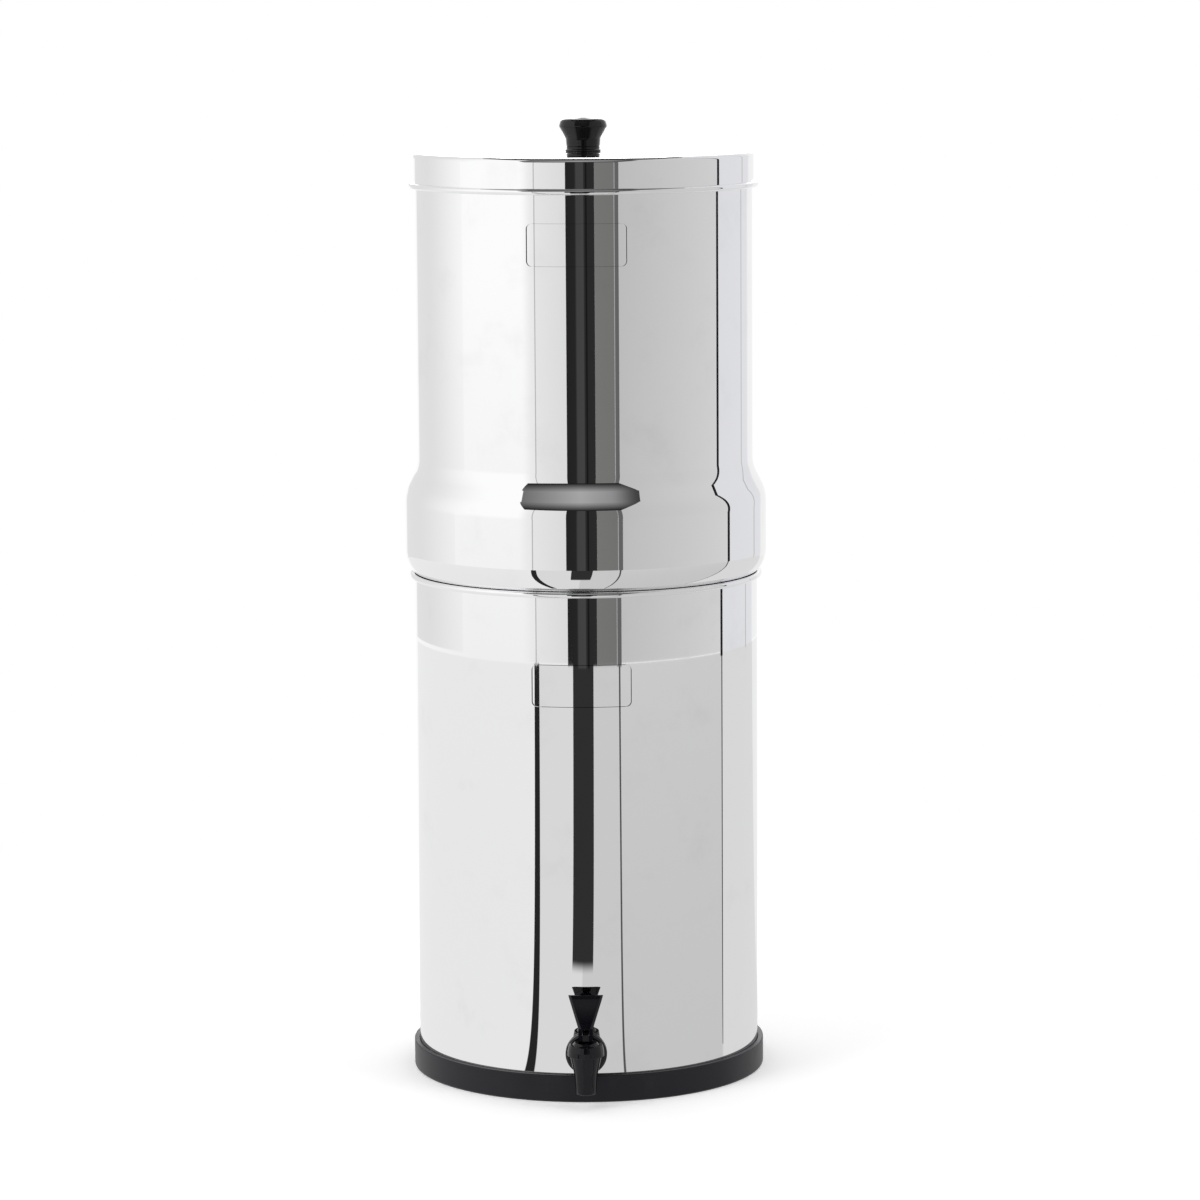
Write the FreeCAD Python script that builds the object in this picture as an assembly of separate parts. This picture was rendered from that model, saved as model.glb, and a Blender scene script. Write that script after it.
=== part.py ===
import FreeCAD, Part
import math
import os

os.makedirs("parts", exist_ok=True)

Vector = FreeCAD.Vector
up = Vector(0, 0, 1)

# Gravity water filter: two nested steel chambers, a lid and a self-closing tap.
# Millimetres, +Z up, origin on the table under the chambers' axis, tap towards -Y.

# Steel sheet and seats
wall = 0.8
seat_gap = 0.3
slip_gap = 0.2
bead_radius = 2.3
edge_round = 0.5

# Lower chamber and its rubber ring
lower_radius = 136.5
lower_corner = 6.0
lower_bead_z = 399.3
ring_height = 21.5
ring_wall = 4.3
ring_ledge = 3.0
ring_ledge_width = 14.0
ring_round = 2.0
ring_lip_round = 0.75

# Upper chamber, which packs away upside down inside the lower one
nest_gap = 2.5
upper_height = 336.6
bulge_step = 10.6
bulge_corner = 25.0
shoulder_height = 81.2
shoulder_tilt = 27.0
shoulder_round = 29.5
hem_height = 8.0

# Lid
lid_play = 0.3
lid_skirt = 25.8
lid_corner = 4.0

# Knob and its fixing
knob_radius = 18.5
knob_neck_radius = 13.1
knob_height = 24.2
knob_rim_drop = 8.4
knob_rim_round = 2.4
knob_rim_reach = 0.5
knob_crown_radius = 17.4
knob_crown_drop = 3.0
knob_crown_round = 4.0
knob_dome_radius = 10.0
knob_dome_drop = 1.1
knob_dome_round = 12.0
knob_under_drop = 18.3
knob_under_round = 4.0
collar_radius = 14.0
collar_height = 3.9
collar_round = 0.7
screw_radius = 2.5
screw_grip = 14.0
screw_head_radius = 4.8
screw_head_height = 3.0
screw_head_round = 1.6
washer_radius = 8.0
washer_thickness = 1.0
slot_width = 1.2
slot_depth = 1.2

# Filter elements and the plugs in the holes between them
element_side_gap = 5.1
hole_count = 8
stem_radius = 4.8
hole_gap = 0.5
thread_gap = 0.05
element_radius = 34.9
element_height = 216.6
element_bore_radius = 14.0
element_cap = 14.0
element_edge = 3.0
base_radius = 33.0
base_height = 12.0
base_foot_step = 2.0
base_foot_height = 3.0
base_skirt_height = 6.0
base_round = 1.5
gasket_radius = 16.0
gasket_thickness = 3.2
gasket_step = 1.5
filter_stem_drop = 25.0
water_bore_radius = 2.4
wing_hub_radius = 8.5
wing_hub_height = 9.0
wing_hub_taper = 1.5
wing_drop = 3.0
wing_height = 9.0
wing_round = 2.5
wing_span = 17.0
wing_thickness = 3.0
plug_head_radius = 11.0
plug_head_height = 4.0
plug_head_round = 2.5
plug_washer_radius = 12.5
plug_washer_thickness = 2.5
plug_stem_drop = 12.0
plug_nut_width = 19.0
plug_nut_height = 6.0

# Stamped panels, one on each chamber
panel_width = 80.0
panel_height = 35.0
panel_corner = 5.0
panel_border = 2.0
panel_rise = 0.45
lower_panel_drop = 71.1
upper_panel_drop = 62.7
lower_panel_turn = -0.8
upper_panel_turn = -1.6

# Tap body
tap_reach = 24.0
tap_height = 38.8
shank_radius = 7.9
shank_inside = 19.0
flange_radius = 16.2
flange_thickness = 3.0
tap_washer_radius = 16.2
tap_washer_thickness = 3.0
tap_nut_width = 25.0
tap_nut_thickness = 7.0
neck_radius = 6.2
neck_height = 35.9
waterway_radius = 3.8
waterway_height = 36.9
outlet_tip_z = 12.4
outlet_tip_radius = 7.9
outlet_tip_round = 1.0
outlet_root_z = 28.3
outlet_root_radius = 9.2
outlet_root_round = 20.0
outlet_bore_radius = 5.6
bonnet_seat_z = 42.5
body_top_radius = 12.4
valve_seat_z = 30.9
valve_bore_radius = 8.2

# Bonnet
bonnet_radius = 14.3
bonnet_top_radius = 13.1
bonnet_rim_z = 51.3
bonnet_boss_radius = 8.6
bonnet_boss_z = 53.2
bonnet_crown = 5.0
bonnet_skirt_height = 4.1
bonnet_skirt_taper = 0.2
bonnet_skirt_round = 3.0
bonnet_rim_round = 0.8
bonnet_boss_slope = 1.6
bonnet_thread_radius = 11.2

# Stem, seat cup and spring
rod_radius = 2.5
rod_gap = 0.07
cup_radius = 7.0
cup_height = 6.4
cup_lip = 2.0
cup_taper = 0.6
cup_hollow = 2.4
rod_in_cup = 3.4
spring_seat_radius = 6.6
spring_seat_thickness = 1.0
spring_radius = 5.2
spring_wire = 0.9
spring_turns = 4
spring_facets = 12
spring_gap = 0.1

# Lever with a cam foot
pin_height = 59.2
pin_radius = 1.5
pin_gap = 0.06
stem_eye_radius = 3.3
fork_gap = 0.25
fork_cheek = 2.85
lever_range = 50.0
valve_lift = 3.2
foot_gap = 0.15
heel_length = 4.0
lever_root_z = 64.6
lever_top_z = 88.0
lever_top_width = 27.2
lever_root_front = 6.4
lever_root_back = 2.6
lever_top_lean = 7.0
lever_top_thickness = 3.6
lever_side_bevel = 2.0
lever_top_bevel_height = 2.5
lever_top_bevel_depth = 1.4

# Heights and radii that follow from the ones above
floor_z = ring_ledge
upper_radius = lower_radius - wall - nest_gap
hem_round = wall / 2
lid_radius = upper_radius + lid_play + wall
hole_circle_radius = upper_radius - element_side_gap - element_radius
bead_centre = lower_radius + bead_radius - wall
bulge_radius = upper_radius + bulge_step
arc_centre_r = bulge_radius - bulge_corner
seat_reach = bulge_corner + bead_radius + seat_gap
upper_floor_z = (lower_bead_z - bulge_corner
                 + math.sqrt(seat_reach ** 2 - (bead_centre - arc_centre_r) ** 2))
upper_top_z = upper_floor_z + upper_height
hem_across = (upper_radius - hem_round) - (lid_radius - lid_corner)
hem_reach = lid_corner - wall - seat_gap - hem_round
lid_top_z = (upper_top_z - hem_round + lid_corner
             - math.sqrt(hem_reach ** 2 - hem_across ** 2))
lid_bead_z = lid_top_z - lid_skirt
tap_y = -(lower_radius + tap_reach)
stem_eye_width = 2 * rod_radius
fork_width = stem_eye_width + 2 * (fork_gap + fork_cheek)


# Outlines are drawn in the XZ plane from places (r, z).
def place(r, z):
    return Vector(r, 0, z)


def rounded_edges(corners, closed):
    """Edges of a run of straight lines whose corners (r, z, radius) are rounded."""
    places = [place(r, z) for r, z, radius in corners]
    radii = [radius for r, z, radius in corners]
    count = len(corners)
    ends = []
    arcs = []
    for i in range(count):
        here = places[i]
        is_end = not closed and i in (0, count - 1)
        if radii[i] == 0 or is_end:
            ends.append((here, here))
            arcs.append(None)
            continue
        back = (places[i - 1] - here).normalize()
        ahead = (places[(i + 1) % count] - here).normalize()
        half = math.acos(max(-1.0, min(1.0, back.dot(ahead)))) / 2
        reach = radii[i] / math.tan(half)
        middle = (back + ahead).normalize()
        start = here + back * reach
        end = here + ahead * reach
        via = here + middle * (radii[i] / math.sin(half) - radii[i])
        ends.append((start, end))
        arcs.append(Part.Arc(start, via, end).toShape())
    edges = []
    for i in range(count):
        if arcs[i]:
            edges.append(arcs[i])
        if i == count - 1 and not closed:
            break
        start = ends[i][1]
        end = ends[(i + 1) % count][0]
        if (end - start).Length > 1e-6:
            edges.append(Part.LineSegment(start, end).toShape())
    return edges


def turned(corners):
    """Solid of revolution about Z from a closed outline of rounded corners."""
    outline = Part.Wire(rounded_edges(corners, True))
    return Part.Face(outline).revolve(Vector(0, 0, 0), up, 360)


def sheet_face(corners):
    """Steel sheet whose outer side follows the corners and whose inner side lies to their left."""
    outer = Part.Wire(rounded_edges(corners, False))
    inner = outer.makeOffset2D(-wall, 0, False, True)
    if inner.BoundBox.XMax > outer.BoundBox.XMax:
        inner = outer.makeOffset2D(wall, 0, False, True)
    outer_ends = (outer.OrderedVertexes[0].Point, outer.OrderedVertexes[-1].Point)
    inner_ends = (inner.OrderedVertexes[0].Point, inner.OrderedVertexes[-1].Point)
    if (inner_ends[0] - outer_ends[0]).Length > (inner_ends[1] - outer_ends[0]).Length:
        inner_ends = (inner_ends[1], inner_ends[0])
    caps = [Part.LineSegment(a, b).toShape() for a, b in zip(outer_ends, inner_ends)]
    edges = outer.OrderedEdges + inner.OrderedEdges + caps
    return Part.Face(Part.Wire(Part.__sortEdges__(edges)))


def sheet(corners):
    return sheet_face(corners).revolve(Vector(0, 0, 0), up, 360)


def bead(centre_r, centre_z):
    """Edge of a sheet rolled round a wire."""
    ring = Part.makeTorus(centre_r, bead_radius)
    ring.translate(Vector(0, 0, centre_z))
    return ring


def disc(radius, low, high, x=0, y=0):
    return Part.makeCylinder(radius, high - low, Vector(x, y, low), up)


def rod_along_y(radius, start, end, z):
    """Cylinder parallel to Y in the plane of the tap."""
    return Part.makeCylinder(radius, end - start, Vector(0, start, z), Vector(0, 1, 0))


def hexagon(width, low, high):
    """Hexagonal prism along Z, its width measured across the flats."""
    reach = width / math.sqrt(3)
    places = [Vector(reach * math.cos(math.radians(60 * i)), reach * math.sin(math.radians(60 * i)), low)
              for i in range(7)]
    return Part.Face(Part.makePolygon(places)).extrude(Vector(0, 0, high - low))


def hole_place(index):
    """Centre of one of the holes in the upper chamber's floor."""
    turn = math.radians(360 / hole_count * index - 90)
    return Vector(hole_circle_radius * math.cos(turn), hole_circle_radius * math.sin(turn), 0)


def save(shape, node):
    shape.exportStep("parts/" + node + ".step")


def panel_frame(radius, z, turn):
    """Raised border of a rounded rectangle, wrapped on the front of a chamber."""
    def prism(width, height, corner):
        x = width / 2
        half = height / 2
        outline = Part.Wire(rounded_edges([(-x, z - half, corner), (x, z - half, corner),
                                           (x, z + half, corner), (-x, z + half, corner)], True))
        return Part.Face(outline).extrude(Vector(0, -2 * radius, 0))

    inner_corner = panel_corner - panel_border
    border = prism(panel_width, panel_height, panel_corner)
    border = border.cut(prism(panel_width - 2 * panel_border, panel_height - 2 * panel_border,
                              inner_corner))
    low = z - panel_height
    skin = disc(radius + panel_rise, low, z + panel_height)
    skin = skin.cut(disc(radius - wall / 2, low, z + panel_height))
    frame = skin.common(border)
    frame.rotate(Vector(0, 0, 0), up, turn)
    return frame


# Base ring and lower chamber
def base_ring():
    inner = lower_radius + slip_gap
    outer = inner + ring_wall
    ledge = lower_radius - ring_ledge_width
    return turned([(ledge, 0, 0), (outer, 0, ring_round), (outer, ring_height, ring_lip_round),
                   (inner, ring_height, ring_lip_round), (inner, ring_ledge, 0),
                   (ledge, ring_ledge, ring_lip_round)])


def lower_chamber():
    shell = sheet([(0, floor_z, 0), (lower_radius, floor_z, lower_corner), (lower_radius, lower_bead_z, 0)])
    shell = shell.fuse(bead(bead_centre, lower_bead_z))
    shell = shell.fuse(panel_frame(lower_radius, lower_bead_z - lower_panel_drop, lower_panel_turn))
    tap_hole = rod_along_y(shank_radius + hole_gap, -lower_radius - wall, -lower_radius + 3 * wall,
                           tap_height)
    return shell.cut(tap_hole)


# Upper chamber: a bulge that rests on the lower chamber's rim, a shoulder and a hemmed top edge
def upper_chamber():
    slope_height = bulge_step / math.tan(math.radians(shoulder_tilt))
    shoulder_z = upper_floor_z + shoulder_height
    shell = sheet([(0, upper_floor_z, 0),
                   (bulge_radius, upper_floor_z, bulge_corner),
                   (bulge_radius, shoulder_z - slope_height / 2, shoulder_round),
                   (upper_radius, shoulder_z + slope_height / 2, shoulder_round),
                   (upper_radius, upper_top_z, 0)])
    fold = upper_radius - 2 * wall
    middle_r = upper_radius - wall / 2
    hem = turned([(fold, upper_top_z - hem_height, hem_round), (middle_r, upper_top_z - hem_height, 0),
                  (middle_r, upper_top_z - hem_round, 0), (upper_radius - wall, upper_top_z, 0),
                  (fold, upper_top_z, hem_round)])
    panel_z = upper_top_z - upper_panel_drop
    shell = shell.fuse(hem).fuse(panel_frame(upper_radius, panel_z, upper_panel_turn))
    for index in range(hole_count):
        middle = hole_place(index)
        shell = shell.cut(disc(stem_radius + hole_gap, upper_floor_z - wall, upper_floor_z + 2 * wall,
                               middle.x, middle.y))
    return shell


# Lid, its knob and the screw that holds the knob from inside
def lid():
    shell = sheet([(0, lid_top_z, 0), (lid_radius, lid_top_z, lid_corner), (lid_radius, lid_bead_z, 0)])
    shell = shell.fuse(bead(lid_radius + bead_radius - wall, lid_bead_z))
    return shell.cut(disc(screw_radius + slip_gap, lid_top_z - 2 * wall, lid_top_z + wall))


def knob_collar():
    top = lid_top_z + collar_height
    body = turned([(0, lid_top_z, 0), (collar_radius, lid_top_z, edge_round),
                   (collar_radius, lid_top_z + collar_height / 3, collar_round),
                   (knob_neck_radius, lid_top_z + collar_height / 2, collar_round),
                   (knob_neck_radius, top, edge_round), (0, top, 0)])
    return body.cut(disc(screw_radius + slip_gap, lid_top_z - 1, top + 1))


def lid_knob():
    low = lid_top_z + collar_height
    top = low + knob_height
    body = turned([(0, low, 0), (knob_neck_radius, low, edge_round),
                   (knob_neck_radius + edge_round, top - knob_under_drop, knob_under_round),
                   (knob_radius + knob_rim_reach, top - knob_rim_drop, knob_rim_round),
                   (knob_crown_radius, top - knob_crown_drop, knob_crown_round),
                   (knob_dome_radius, top - knob_dome_drop, knob_dome_round),
                   (0, top, 0)])
    bore = disc(screw_radius + thread_gap, low - 1, low + screw_grip)
    return body.cut(bore)


def knob_screw():
    under = lid_top_z - wall - washer_thickness
    bottom = under - screw_head_height
    head = turned([(0, under, 0), (screw_head_radius, under, 0),
                   (screw_head_radius, bottom, screw_head_round), (0, bottom, 0)])
    shank = disc(screw_radius, under, lid_top_z + collar_height + screw_grip - 1)
    screw = head.fuse(shank)
    for turn in (0, 90):
        slot = Part.makeBox(1.3 * screw_head_radius, slot_width, slot_depth + 1,
                            Vector(-0.65 * screw_head_radius, -slot_width / 2, bottom - 1))
        slot.rotate(Vector(0, 0, 0), up, turn)
        screw = screw.cut(slot)
    return screw


def knob_washer():
    high = lid_top_z - wall
    ring = disc(washer_radius, high - washer_thickness, high)
    return ring.cut(disc(screw_radius + slip_gap, high - 2 * washer_thickness, high + 1))


# One filter element: carbon cylinder, plastic base with a hollow threaded stem, gasket and wing nut
inside_floor_z = upper_floor_z + wall
base_z = inside_floor_z + gasket_thickness


def filter_element():
    low = base_z + base_height
    high = low + element_height
    body = turned([(0, low, 0), (element_radius, low, 0), (element_radius, high, element_edge), (0, high, 0)])
    return body.cut(disc(element_bore_radius, low - 1, high - element_cap))


def filter_base():
    low = base_z
    high = base_z + base_height
    body = turned([(0, low, 0), (gasket_radius, low, 0),
                   (base_radius - base_foot_step, low + base_foot_height, base_round),
                   (base_radius, low + base_skirt_height, base_round),
                   (base_radius, high, edge_round), (0, high, 0)])
    body = body.fuse(disc(stem_radius, upper_floor_z - filter_stem_drop, low + 1))
    return body.cut(disc(water_bore_radius, upper_floor_z - filter_stem_drop - 1, high + 1))


def filter_gasket():
    bore = stem_radius + slip_gap
    return turned([(bore, inside_floor_z, 0), (gasket_radius, inside_floor_z, edge_round),
                   (gasket_radius - gasket_step, base_z, 0), (bore, base_z, 0)])


def filter_nut():
    top = upper_floor_z
    low = top - wing_hub_height
    hub = turned([(0, low, 0), (wing_hub_radius - wing_hub_taper, low, edge_round),
                  (wing_hub_radius, top, edge_round), (0, top, 0)])
    wing_low = low - wing_drop
    outline = rounded_edges([(0, low, 0), (wing_hub_radius, low, 0), (wing_span, wing_low, wing_round),
                             (wing_span, wing_low + wing_height, wing_round),
                             (wing_hub_radius - 1, top - 1, 0), (0, top - 1, 0)], True)
    wing = Part.Face(Part.Wire(outline)).extrude(Vector(0, wing_thickness, 0))
    wing.translate(Vector(0, -wing_thickness / 2, 0))
    other = wing.copy()
    other.rotate(Vector(0, 0, 0), up, 180)
    nut = hub.fuse(wing).fuse(other)
    return nut.cut(disc(stem_radius + thread_gap, wing_low - 1, top + 1))


# Blanking plug for a hole without an element
def hole_plug():
    low = inside_floor_z + plug_washer_thickness
    head = turned([(0, low, 0), (plug_head_radius, low, edge_round),
                   (plug_head_radius, low + plug_head_height, plug_head_round),
                   (0, low + plug_head_height, 0)])
    return head.fuse(disc(stem_radius, upper_floor_z - plug_stem_drop, low + 1))


def hole_plug_washer():
    top = inside_floor_z + plug_washer_thickness
    ring = disc(plug_washer_radius, inside_floor_z, top)
    return ring.cut(disc(stem_radius + slip_gap, upper_floor_z - 1, top + 1))


def hole_plug_nut():
    nut = hexagon(plug_nut_width, upper_floor_z - plug_nut_height, upper_floor_z)
    return nut.cut(disc(stem_radius + thread_gap, upper_floor_z - plug_nut_height - 1, upper_floor_z + 1))


def copies(piece, indexes):
    """One copy of a piece at each of the named holes."""
    moved = []
    for index in indexes:
        copy = piece.copy()
        copy.translate(hole_place(index))
        moved.append(copy)
    return moved


# Tap pieces, drawn about Z and moved to the tap's own upright axis at tap_y
def at_tap(shape):
    shape.translate(Vector(0, tap_y, 0))
    return shape


washer_face_y = -(lower_radius + slip_gap + tap_washer_thickness)
flange_face_y = washer_face_y - flange_thickness
inside_face_y = -(lower_radius - wall - slip_gap - tap_washer_thickness)


def tap_body():
    body_top = bonnet_boss_z - bonnet_crown - seat_gap
    thread = bonnet_thread_radius - thread_gap
    outer = at_tap(turned([(0, outlet_tip_z, 0), (outlet_tip_radius, outlet_tip_z, outlet_tip_round),
                           (outlet_root_radius, outlet_root_z, outlet_root_round),
                           (body_top_radius, bonnet_seat_z, 0), (thread, bonnet_seat_z, 0),
                           (thread, body_top, edge_round), (0, body_top, 0)]))
    neck = rod_along_y(neck_radius, tap_y, washer_face_y - flange_thickness / 2, neck_height)
    flange = rod_along_y(flange_radius, flange_face_y, washer_face_y, tap_height)
    rim = [edge for edge in flange.Edges if abs(edge.BoundBox.YMin - flange_face_y) < 0.01
           and abs(edge.BoundBox.YMax - flange_face_y) < 0.01]
    flange = flange.makeFillet(flange_thickness / 2, rim)
    shank = rod_along_y(shank_radius, washer_face_y - flange_thickness / 2,
                        -lower_radius + shank_inside, tap_height)
    body = outer.fuse(neck).fuse(flange).fuse(shank)
    bore = disc(valve_bore_radius, valve_seat_z, body_top + 1, 0, tap_y)
    outlet = disc(outlet_bore_radius, outlet_tip_z - 1, valve_seat_z + 1, 0, tap_y)
    waterway = rod_along_y(waterway_radius, tap_y, -lower_radius + shank_inside + 1, waterway_height)
    return body.cut(bore).cut(outlet).cut(waterway)


def tap_outer_washer():
    outer = rod_along_y(tap_washer_radius, washer_face_y, -lower_radius + tap_washer_thickness, tap_height)
    outer = outer.cut(disc(lower_radius + slip_gap, 0, 2 * tap_height))
    return outer.cut(rod_along_y(shank_radius + slip_gap, washer_face_y - 1, 0, tap_height))


def tap_inner_washer():
    ring = rod_along_y(tap_washer_radius, -lower_radius, inside_face_y, tap_height)
    ring = ring.common(disc(lower_radius - wall - slip_gap, 0, 2 * tap_height))
    return ring.cut(rod_along_y(shank_radius + slip_gap, -lower_radius - 1, 0, tap_height))


def tap_nut():
    nut = hexagon(tap_nut_width, 0, tap_nut_thickness)
    nut = nut.cut(disc(shank_radius + thread_gap, -1, tap_nut_thickness + 1))
    nut.rotate(Vector(0, 0, 0), Vector(1, 0, 0), -90)
    nut.translate(Vector(0, inside_face_y, tap_height))
    return nut


def tap_bonnet():
    crown_z = bonnet_boss_z - bonnet_crown
    skirt_radius = bonnet_radius - bonnet_skirt_taper
    cap = turned([(0, bonnet_seat_z, 0), (bonnet_radius, bonnet_seat_z, edge_round),
                  (skirt_radius, bonnet_seat_z + bonnet_skirt_height, bonnet_skirt_round),
                  (bonnet_top_radius, bonnet_rim_z, bonnet_rim_round),
                  (bonnet_boss_radius + bonnet_boss_slope, bonnet_rim_z, 0),
                  (bonnet_boss_radius, bonnet_boss_z, edge_round), (0, bonnet_boss_z, 0)])
    cap = cap.cut(disc(bonnet_thread_radius, bonnet_seat_z - 1, crown_z))
    cap = cap.cut(disc(rod_radius + rod_gap, crown_z - 1, bonnet_boss_z + 1))
    return at_tap(cap)


cup_z = valve_seat_z + foot_gap
cup_top_z = cup_z + cup_height
spring_low_z = cup_top_z + spring_seat_thickness + spring_gap
spring_high_z = bonnet_boss_z - bonnet_crown - spring_gap


def tap_seat_cup():
    cup = turned([(0, cup_z + cup_hollow, 0), (cup_radius - cup_lip - cup_taper, cup_z + cup_hollow, 0),
                  (cup_radius - cup_lip, cup_z, 0), (cup_radius, cup_z, edge_round),
                  (cup_radius - cup_taper, cup_top_z, edge_round), (0, cup_top_z, 0)])
    return at_tap(cup.cut(disc(rod_radius + thread_gap, cup_top_z - rod_in_cup, cup_top_z + 1)))


def tap_stem():
    """Rod with a spring seat below and a flat eye for the lever's pin above."""
    low = cup_top_z - rod_in_cup + thread_gap
    eye_low = bonnet_boss_z + foot_gap
    rod = disc(rod_radius, low, pin_height)
    seat = disc(spring_seat_radius, cup_top_z, cup_top_z + spring_seat_thickness)
    eye = Part.makeCylinder(stem_eye_radius, stem_eye_width,
                            Vector(-stem_eye_width / 2, 0, pin_height), Vector(1, 0, 0))
    cheek = Part.makeBox(stem_eye_width, 2 * stem_eye_radius, pin_height - eye_low,
                         Vector(-stem_eye_width / 2, -stem_eye_radius, eye_low))
    rod = rod.fuse(seat).fuse(eye).fuse(cheek)
    hole = Part.makeCylinder(pin_radius + pin_gap, 2 * stem_eye_width,
                             Vector(-stem_eye_width, 0, pin_height), Vector(1, 0, 0))
    return at_tap(rod.cut(hole))


def tap_spring():
    """Open coil of square wire between the stem's seat and the bonnet, as one unbroken bar."""
    half = spring_wire / 2
    steps = spring_turns * spring_facets
    climb = (spring_high_z - spring_low_z - spring_wire) / steps
    sections = []
    for step in range(steps + 1):
        middle = spring_low_z + half + climb * step
        corners = [place(spring_radius - half, middle - half), place(spring_radius + half, middle - half),
                   place(spring_radius + half, middle + half), place(spring_radius - half, middle + half)]
        section = Part.makePolygon(corners + corners[:1])
        section.rotate(Vector(0, 0, 0), up, 360 / spring_facets * step)
        sections.append(section)
    print("spring gap between turns", round(climb * spring_facets - spring_wire, 2))
    return at_tap(Part.makeLoft(sections, True, True))


def cam_place(turn):
    """Where the foot touches the bonnet when the lever is turned, seen from the pin.

    The foot is an involute, so the stem rises evenly with the turn."""
    rise = valve_lift / math.radians(lever_range)
    reach = pin_height - bonnet_boss_z - foot_gap + rise * turn
    y = -reach * math.sin(turn) - rise * math.cos(turn)
    z = -reach * math.cos(turn) + rise * math.sin(turn)
    return Vector(0, y, pin_height + z)


def tap_lever():
    """Fork with a cam foot below and a flared paddle that leans back above."""
    steps = 6
    cam = [cam_place(math.radians(lever_range) * i / steps) for i in range(steps + 1)]
    heel = Vector(0, heel_length, cam[0].z)
    root_back = Vector(0, lever_root_back, lever_root_z)
    root_front = Vector(0, -lever_root_front, lever_root_z)
    curve = Part.BSplineCurve()
    curve.interpolate(cam)
    outline = Part.Wire([Part.LineSegment(heel, cam[0]).toShape(), curve.toShape(),
                         Part.LineSegment(cam[-1], root_front).toShape(),
                         Part.LineSegment(root_front, root_back).toShape(),
                         Part.LineSegment(root_back, heel).toShape()])
    fork = Part.Face(outline).extrude(Vector(fork_width, 0, 0))
    fork.translate(Vector(-fork_width / 2, 0, 0))
    slot = Part.makeBox(stem_eye_width + 2 * fork_gap, 40, lever_root_z - bonnet_boss_z - 1,
                        Vector(-stem_eye_width / 2 - fork_gap, -20, bonnet_boss_z))
    lever = fork.cut(slot)
    lever = lever.fuse(lever_paddle())
    hole = Part.makeCylinder(pin_radius + thread_gap, 2 * fork_width,
                             Vector(-fork_width, 0, pin_height), Vector(1, 0, 0))
    return at_tap(lever.cut(hole))


def paddle_section(z, width, front, back):
    """Outline of the paddle at one height, its front corners bevelled."""
    x = width / 2
    bevel = lever_side_bevel
    corners = [Vector(-x, back, z), Vector(x, back, z), Vector(x, front + bevel, z),
               Vector(x - bevel, front, z), Vector(bevel - x, front, z), Vector(-x, front + bevel, z)]
    return Part.makePolygon(corners + corners[:1])


def lever_paddle():
    low = lever_root_z - 0.5
    bevel_z = lever_top_z - lever_top_bevel_height
    share = (bevel_z - low) / (lever_top_z - low)
    front = -lever_root_front + share * (lever_root_front + lever_top_lean)
    top_back = lever_top_lean + lever_top_thickness
    back = lever_root_back + share * (top_back - lever_root_back)
    width = fork_width + share * (lever_top_width - fork_width)
    top_front = lever_top_lean + lever_top_bevel_depth
    sections = [paddle_section(low, fork_width, -lever_root_front, lever_root_back),
                paddle_section(bevel_z, width, front, back),
                paddle_section(lever_top_z, lever_top_width, top_front, top_back)]
    return Part.makeLoft(sections, True, True)


def tap_lever_pin():
    pin = Part.makeCylinder(pin_radius, fork_width, Vector(-fork_width / 2, 0, pin_height), Vector(1, 0, 0))
    return at_tap(pin)


# Every node, in the order in which the object goes together
save(base_ring(), "base_ring")
save(lower_chamber(), "lower_chamber")
save(upper_chamber(), "upper_chamber")
save(lid(), "lid")
save(knob_collar(), "knob_collar")
save(lid_knob(), "lid_knob")
save(knob_screw(), "knob_screw")
save(knob_washer(), "knob_washer")

filter_holes = range(1, hole_count, 2)
plug_holes = range(0, hole_count, 2)
for node, make in [("filter_element", filter_element), ("filter_base", filter_base),
                   ("filter_gasket", filter_gasket), ("filter_nut", filter_nut)]:
    for number, piece in enumerate(copies(make(), filter_holes), start=1):
        save(piece, node + "_" + str(number))
for node, make in [("hole_plugs", hole_plug), ("hole_plug_washers", hole_plug_washer),
                   ("hole_plug_nuts", hole_plug_nut)]:
    save(Part.makeCompound(copies(make(), plug_holes)), node)

save(tap_body(), "tap_body")
save(tap_outer_washer(), "tap_outer_washer")
save(tap_inner_washer(), "tap_inner_washer")
save(tap_nut(), "tap_nut")
save(tap_bonnet(), "tap_bonnet")
save(tap_seat_cup(), "tap_seat_cup")
save(tap_stem(), "tap_stem")
save(tap_spring(), "tap_spring")
save(tap_lever(), "tap_lever")
save(tap_lever_pin(), "tap_lever_pin")
print("upper floor", round(upper_floor_z, 2), "lid top", round(lid_top_z, 2))
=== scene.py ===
import math

import bmesh
import bpy
from mathutils import Matrix, Vector


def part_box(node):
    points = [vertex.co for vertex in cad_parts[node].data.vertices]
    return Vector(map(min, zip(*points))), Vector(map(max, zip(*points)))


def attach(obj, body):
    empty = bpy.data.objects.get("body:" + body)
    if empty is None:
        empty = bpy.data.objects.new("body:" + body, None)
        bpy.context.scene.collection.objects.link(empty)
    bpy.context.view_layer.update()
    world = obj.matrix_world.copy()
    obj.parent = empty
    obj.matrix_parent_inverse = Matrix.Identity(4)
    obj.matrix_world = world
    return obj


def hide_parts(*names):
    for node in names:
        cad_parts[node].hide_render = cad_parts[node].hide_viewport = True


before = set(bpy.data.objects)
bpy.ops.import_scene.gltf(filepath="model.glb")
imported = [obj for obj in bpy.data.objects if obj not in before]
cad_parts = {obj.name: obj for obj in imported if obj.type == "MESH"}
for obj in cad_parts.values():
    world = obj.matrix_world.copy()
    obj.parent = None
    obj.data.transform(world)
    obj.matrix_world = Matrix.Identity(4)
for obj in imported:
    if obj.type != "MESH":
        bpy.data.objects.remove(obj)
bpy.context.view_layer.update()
print("frame loaded")

mm = 0.001
scene = bpy.context.scene
up = Vector((0, 0, 1))


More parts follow.
